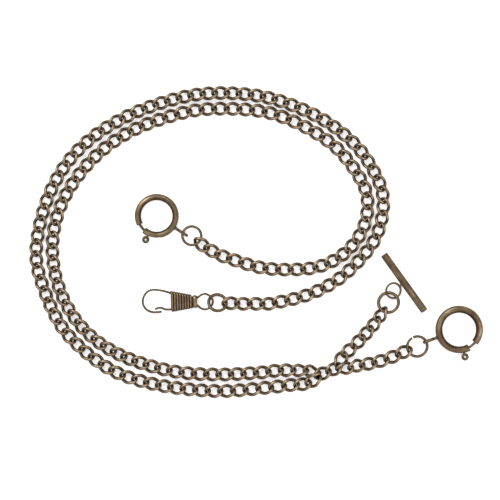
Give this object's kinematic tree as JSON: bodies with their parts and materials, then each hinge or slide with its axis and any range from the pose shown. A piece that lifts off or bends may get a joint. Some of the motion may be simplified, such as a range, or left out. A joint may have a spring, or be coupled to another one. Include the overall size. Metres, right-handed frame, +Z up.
{
  "type": "pocket watch chain",
  "caption": "Long double curb-link pocket watch chain with bolt-ring clasps, a T-bar and a snap hook, laid out in a loop on a flat surface.",
  "frame": {"origin": "centre of the outline, on the surface that the chain lies on", "axes": "+X along the longest side of the laid-out chain, +Y away from the two short chains, +Z up from the surface"},
  "size_m": [0.1586, 0.1092, 0.0045],
  "materials": {
    "antique_bronze": "satin antique bronze, dark in the recesses",
    "dark_bronze": "satin antique bronze, browner and streaked",
    "spring_steel": "bright drawn wire"
  },
  "bodies": {
    "connecting_links": {"connecting_links": "antique_bronze"},
    "outer_17": {"outer_strand_17": "antique_bronze"},
    "outer_16": {"outer_strand_16": "antique_bronze"},
    "outer_15": {"outer_strand_15": "antique_bronze"},
    "outer_14": {"outer_strand_14": "antique_bronze"},
    "outer_13": {"outer_strand_13": "antique_bronze"},
    "outer_12": {"outer_strand_12": "antique_bronze"},
    "outer_11": {"outer_strand_11": "antique_bronze"},
    "outer_10": {"outer_strand_10": "antique_bronze"},
    "outer_9": {"outer_strand_9": "antique_bronze"},
    "outer_8": {"outer_strand_8": "antique_bronze"},
    "outer_7": {"outer_strand_7": "antique_bronze"},
    "outer_6": {"outer_strand_6": "antique_bronze"},
    "outer_5": {"outer_strand_5": "antique_bronze"},
    "outer_4": {"outer_strand_4": "antique_bronze"},
    "outer_3": {"outer_strand_3": "antique_bronze"},
    "outer_2": {"outer_strand_2": "antique_bronze"},
    "outer_1": {"outer_strand_1": "antique_bronze"},
    "hook_jump_ring": {"hook_jump_ring": "antique_bronze"},
    "hook": {"hook_frame": "antique_bronze", "hook_collar": "dark_bronze"},
    "hook_gate": {"hook_gate": "antique_bronze"},
    "inner_16": {"inner_strand_16": "antique_bronze"},
    "inner_15": {"inner_strand_15": "antique_bronze"},
    "inner_14": {"inner_strand_14": "antique_bronze"},
    "inner_13": {"inner_strand_13": "antique_bronze"},
    "inner_12": {"inner_strand_12": "antique_bronze"},
    "inner_11": {"inner_strand_11": "antique_bronze"},
    "inner_10": {"inner_strand_10": "antique_bronze"},
    "inner_9": {"inner_strand_9": "antique_bronze"},
    "inner_8": {"inner_strand_8": "antique_bronze"},
    "inner_7": {"inner_strand_7": "antique_bronze"},
    "inner_6": {"inner_strand_6": "antique_bronze"},
    "inner_5": {"inner_strand_5": "antique_bronze"},
    "inner_4": {"inner_strand_4": "antique_bronze"},
    "inner_3": {"inner_strand_3": "antique_bronze"},
    "inner_2": {"inner_strand_2": "antique_bronze"},
    "inner_1": {"inner_strand_1": "antique_bronze"},
    "small_jump_ring": {"small_ring_jump_ring": "antique_bronze"},
    "small_ring": {"small_ring_shell": "dark_bronze", "small_ring_spring": "spring_steel", "small_ring_eyelet": "antique_bronze"},
    "small_bolt": {"small_ring_bolt": "antique_bronze"},
    "t_bar_chain_1": {"t_bar_chain_1": "antique_bronze"},
    "t_bar_chain_2": {"t_bar_chain_2": "antique_bronze"},
    "t_bar_jump_ring": {"t_bar_jump_ring": "antique_bronze"},
    "t_bar": {"t_bar": "dark_bronze", "t_bar_ring": "antique_bronze"},
    "ring_chain_1": {"ring_chain_1": "antique_bronze"},
    "ring_chain_2": {"ring_chain_2": "antique_bronze"},
    "large_jump_ring": {"large_ring_jump_ring": "antique_bronze"},
    "large_ring": {"large_ring_shell": "dark_bronze", "large_ring_spring": "spring_steel", "large_ring_eyelet": "antique_bronze"},
    "large_bolt": {"large_ring_bolt": "antique_bronze"}
  },
  "joints": [
    {"name": "large_bolt_slide", "type": "hinge", "parent": "large_ring", "child": "large_bolt", "pos_m": [0.071, -0.0306, 0.00123], "axis": [0, 0, -1], "range_deg": [0, 31], "stiffness_Nm_per_rad": 0.0002, "springref_deg": -12, "deforming": ["large_ring_spring"]},
    {"name": "small_bolt_slide", "type": "hinge", "parent": "small_ring", "child": "small_bolt", "pos_m": [-0.0347, 0.0091, 0.00115], "axis": [0, 0, 1], "range_deg": [0, 31], "stiffness_Nm_per_rad": 0.0002, "springref_deg": -12, "deforming": ["small_ring_spring"]},
    {"name": "hook_gate_flex", "type": "hinge", "parent": "hook", "child": "hook_gate", "pos_m": [-0.0296, -0.02354, 0.00157], "axis": [0, 0.2079, -0.9781], "range_deg": [0, 22], "stiffness_Nm_per_rad": 0.0004, "springref_deg": -4},
    {"name": "large_ring_swing", "type": "hinge", "parent": "large_jump_ring", "child": "large_ring", "pos_m": [0.05953, -0.03488, 0.00121], "axis": [0, 0, 1], "range_deg": [-10, 12]},
    {"name": "small_ring_swing", "type": "hinge", "parent": "small_jump_ring", "child": "small_ring", "pos_m": [-0.02559, 0.0032, 0.00115], "axis": [0, 0, 1], "range_deg": [-12, 12]},
    {"name": "hook_swing", "type": "hinge", "parent": "hook_jump_ring", "child": "hook", "pos_m": [-0.01652, -0.02077, 0.00209], "axis": [0, 0, 1], "range_deg": [-8, 10]},
    {"name": "t_bar_swing", "type": "hinge", "parent": "t_bar_jump_ring", "child": "t_bar", "pos_m": [0.04765, -0.01797, 0.00115], "axis": [0, 0, 1], "range_deg": [-6, 2]},
    {"name": "large_jump_ring_tilt", "type": "hinge", "parent": "ring_chain_2", "child": "large_jump_ring", "pos_m": [0.05306, -0.03788, 0.00154], "axis": [0.3832, -0.9237, 0], "range_deg": [-12, 20]},
    {"name": "small_jump_ring_tilt", "type": "hinge", "parent": "inner_1", "child": "small_jump_ring", "pos_m": [-0.01998, 0.00004, 0.00163], "axis": [0.6623, 0.7492, 0], "range_deg": [-18, 20]},
    {"name": "hook_jump_ring_tilt", "type": "hinge", "parent": "outer_1", "child": "hook_jump_ring", "pos_m": [-0.01036, -0.02133, 0.00167], "axis": [0.043, 0.9991, 0], "range_deg": [-14, 10]},
    {"name": "t_bar_jump_ring_tilt", "type": "hinge", "parent": "t_bar_chain_2", "child": "t_bar_jump_ring", "pos_m": [0.04441, -0.02412, 0.00213], "axis": [0.8566, -0.516, 0], "range_deg": [-20, 20]},
    {"name": "t_bar_chain_1_bend", "type": "hinge", "parent": "connecting_links", "child": "t_bar_chain_1", "pos_m": [0.02845, -0.04272, 0.00162], "axis": [0.8244, -0.566, 0], "range_deg": [-8, 2]},
    {"name": "t_bar_chain_2_bend", "type": "hinge", "parent": "t_bar_chain_1", "child": "t_bar_chain_2", "pos_m": [0.03715, -0.03333, 0.00147], "axis": [-0.7247, 0.6891, 0], "range_deg": [-12, 15]},
    {"name": "ring_chain_1_bend", "type": "hinge", "parent": "connecting_links", "child": "ring_chain_1", "pos_m": [0.0291, -0.04423, 0.00225], "axis": [0.0968, -0.9953, 0], "range_deg": [-2, 6]},
    {"name": "ring_chain_2_bend", "type": "hinge", "parent": "ring_chain_1", "child": "ring_chain_2", "pos_m": [0.04133, -0.0421, 0.00143], "axis": [-0.229, 0.9734, 0], "range_deg": [-15, 14]},
    {"name": "outer_17_bend", "type": "hinge", "parent": "connecting_links", "child": "outer_17", "pos_m": [0.02165, -0.04715, 0.00158], "axis": [-0.6156, 0.788, 0], "range_deg": [-10, 0]},
    {"name": "outer_16_bend", "type": "hinge", "parent": "outer_17", "child": "outer_16", "pos_m": [-0.00364, -0.05165, 0.00133], "axis": [0.0911, -0.9958, 0], "range_deg": [-15, 15]},
    {"name": "outer_15_bend", "type": "hinge", "parent": "outer_16", "child": "outer_15", "pos_m": [-0.0256, -0.05126, 0.00133], "axis": [0.1117, 0.9937, 0], "range_deg": [-15, 15]},
    {"name": "outer_14_bend", "type": "hinge", "parent": "outer_15", "child": "outer_14", "pos_m": [-0.04659, -0.04648, 0.00133], "axis": [-0.3683, -0.9297, 0], "range_deg": [-15, 15]},
    {"name": "outer_13_bend", "type": "hinge", "parent": "outer_14", "child": "outer_13", "pos_m": [-0.0639, -0.03437, 0.00133], "axis": [0.7184, 0.6956, 0], "range_deg": [-15, 15]},
    {"name": "outer_12_bend", "type": "hinge", "parent": "outer_13", "child": "outer_12", "pos_m": [-0.07422, -0.01626, 0.00133], "axis": [-0.9411, -0.3382, 0], "range_deg": [-15, 15]},
    {"name": "outer_11_bend", "type": "hinge", "parent": "outer_12", "child": "outer_11", "pos_m": [-0.07591, 0.00434, 0.00133], "axis": [0.9823, -0.1875, 0], "range_deg": [-15, 15]},
    {"name": "outer_10_bend", "type": "hinge", "parent": "outer_11", "child": "outer_10", "pos_m": [-0.06854, 0.02391, 0.00133], "axis": [-0.8519, 0.5237, 0], "range_deg": [-15, 15]},
    {"name": "outer_9_bend", "type": "hinge", "parent": "outer_10", "child": "outer_9", "pos_m": [-0.05398, 0.03887, 0.00133], "axis": [0.5589, -0.8292, 0], "range_deg": [-15, 15]},
    {"name": "outer_8_bend", "type": "hinge", "parent": "outer_9", "child": "outer_8", "pos_m": [-0.03505, 0.04798, 0.00133], "axis": [-0.3137, 0.9495, 0], "range_deg": [-15, 15]},
    {"name": "outer_7_bend", "type": "hinge", "parent": "outer_8", "child": "outer_7", "pos_m": [-0.01443, 0.05201, 0.00133], "axis": [0.0306, -0.9995, 0], "range_deg": [-15, 15]},
    {"name": "outer_6_bend", "type": "hinge", "parent": "outer_7", "child": "outer_6", "pos_m": [0.0065, 0.04984, 0.00133], "axis": [0.2618, 0.9651, 0], "range_deg": [-15, 15]},
    {"name": "outer_5_bend", "type": "hinge", "parent": "outer_6", "child": "outer_5", "pos_m": [0.02574, 0.0413, 0.00133], "axis": [-0.5502, -0.835, 0], "range_deg": [-15, 15]},
    {"name": "outer_4_bend", "type": "hinge", "parent": "outer_5", "child": "outer_4", "pos_m": [0.0403, 0.02628, 0.00133], "axis": [0.8677, 0.4971, 0], "range_deg": [-15, 15]},
    {"name": "outer_3_bend", "type": "hinge", "parent": "outer_4", "child": "outer_3", "pos_m": [0.04339, 0.00603, 0.00133], "axis": [-0.9629, 0.2698, 0], "range_deg": [-15, 15]},
    {"name": "outer_2_bend", "type": "hinge", "parent": "outer_3", "child": "outer_2", "pos_m": [0.03078, -0.0114, 0.00133], "axis": [0.6337, -0.7736, 0], "range_deg": [-14, 15]},
    {"name": "outer_1_bend", "type": "hinge", "parent": "outer_2", "child": "outer_1", "pos_m": [0.0109, -0.02038, 0.00133], "axis": [-0.2052, 0.9787, 0], "range_deg": [-15, 15]},
    {"name": "inner_16_bend", "type": "hinge", "parent": "connecting_links", "child": "inner_16", "pos_m": [0.0214, -0.04553, 0.0019], "axis": [0.1987, 0.9801, 0], "range_deg": [0, 14]},
    {"name": "inner_15_bend", "type": "hinge", "parent": "inner_16", "child": "inner_15", "pos_m": [-0.00002, -0.04569, 0.00145], "axis": [0.0721, -0.9974, 0], "range_deg": [-15, 15]},
    {"name": "inner_14_bend", "type": "hinge", "parent": "inner_15", "child": "inner_14", "pos_m": [-0.02173, -0.04597, 0.00133], "axis": [0.0725, 0.9974, 0], "range_deg": [-15, 15]},
    {"name": "inner_13_bend", "type": "hinge", "parent": "inner_14", "child": "inner_13", "pos_m": [-0.04238, -0.04149, 0.00133], "axis": [-0.3348, -0.9423, 0], "range_deg": [-15, 15]},
    {"name": "inner_12_bend", "type": "hinge", "parent": "inner_13", "child": "inner_12", "pos_m": [-0.05958, -0.03093, 0.00161], "axis": [0.7133, 0.7009, 0], "range_deg": [-15, 15]},
    {"name": "inner_11_bend", "type": "hinge", "parent": "inner_12", "child": "inner_11", "pos_m": [-0.06956, -0.01344, 0.00138], "axis": [-0.9632, -0.2687, 0], "range_deg": [-15, 15]},
    {"name": "inner_10_bend", "type": "hinge", "parent": "inner_11", "child": "inner_10", "pos_m": [-0.07002, 0.00679, 0.00133], "axis": [0.9736, -0.2282, 0], "range_deg": [-15, 15]},
    {"name": "inner_9_bend", "type": "hinge", "parent": "inner_10", "child": "inner_9", "pos_m": [-0.06038, 0.02529, 0.00133], "axis": [-0.7678, 0.6407, 0], "range_deg": [-15, 15]},
    {"name": "inner_8_bend", "type": "hinge", "parent": "inner_9", "child": "inner_8", "pos_m": [-0.04382, 0.03856, 0.00133], "axis": [0.4607, -0.8876, 0], "range_deg": [-15, 15]},
    {"name": "inner_7_bend", "type": "hinge", "parent": "inner_8", "child": "inner_7", "pos_m": [-0.02337, 0.04554, 0.00133], "axis": [-0.1922, 0.9814, 0], "range_deg": [-15, 15]},
    {"name": "inner_6_bend", "type": "hinge", "parent": "inner_7", "child": "inner_6", "pos_m": [-0.00142, 0.04605, 0.00133], "axis": [-0.1032, -0.9947, 0], "range_deg": [-15, 15]},
    {"name": "inner_5_bend", "type": "hinge", "parent": "inner_6", "child": "inner_5", "pos_m": [0.01932, 0.03897, 0.00133], "axis": [0.4922, 0.8705, 0], "range_deg": [-15, 15]},
    {"name": "inner_4_bend", "type": "hinge", "parent": "inner_5", "child": "inner_4", "pos_m": [0.0351, 0.02421, 0.00133], "axis": [-0.8414, -0.5404, 0], "range_deg": [-15, 15]},
    {"name": "inner_3_bend", "type": "hinge", "parent": "inner_4", "child": "inner_3", "pos_m": [0.03694, 0.004, 0.00133], "axis": [0.9076, -0.4198, 0], "range_deg": [-15, 15]},
    {"name": "inner_2_bend", "type": "hinge", "parent": "inner_3", "child": "inner_2", "pos_m": [0.02075, -0.00877, 0.00133], "axis": [-0.2179, 0.976, 0], "range_deg": [-15, 15]},
    {"name": "inner_1_bend", "type": "hinge", "parent": "inner_2", "child": "inner_1", "pos_m": [-0.00098, -0.00829, 0.00133], "axis": [-0.2458, -0.9693, 0], "range_deg": [-15, 15]}
  ]
}
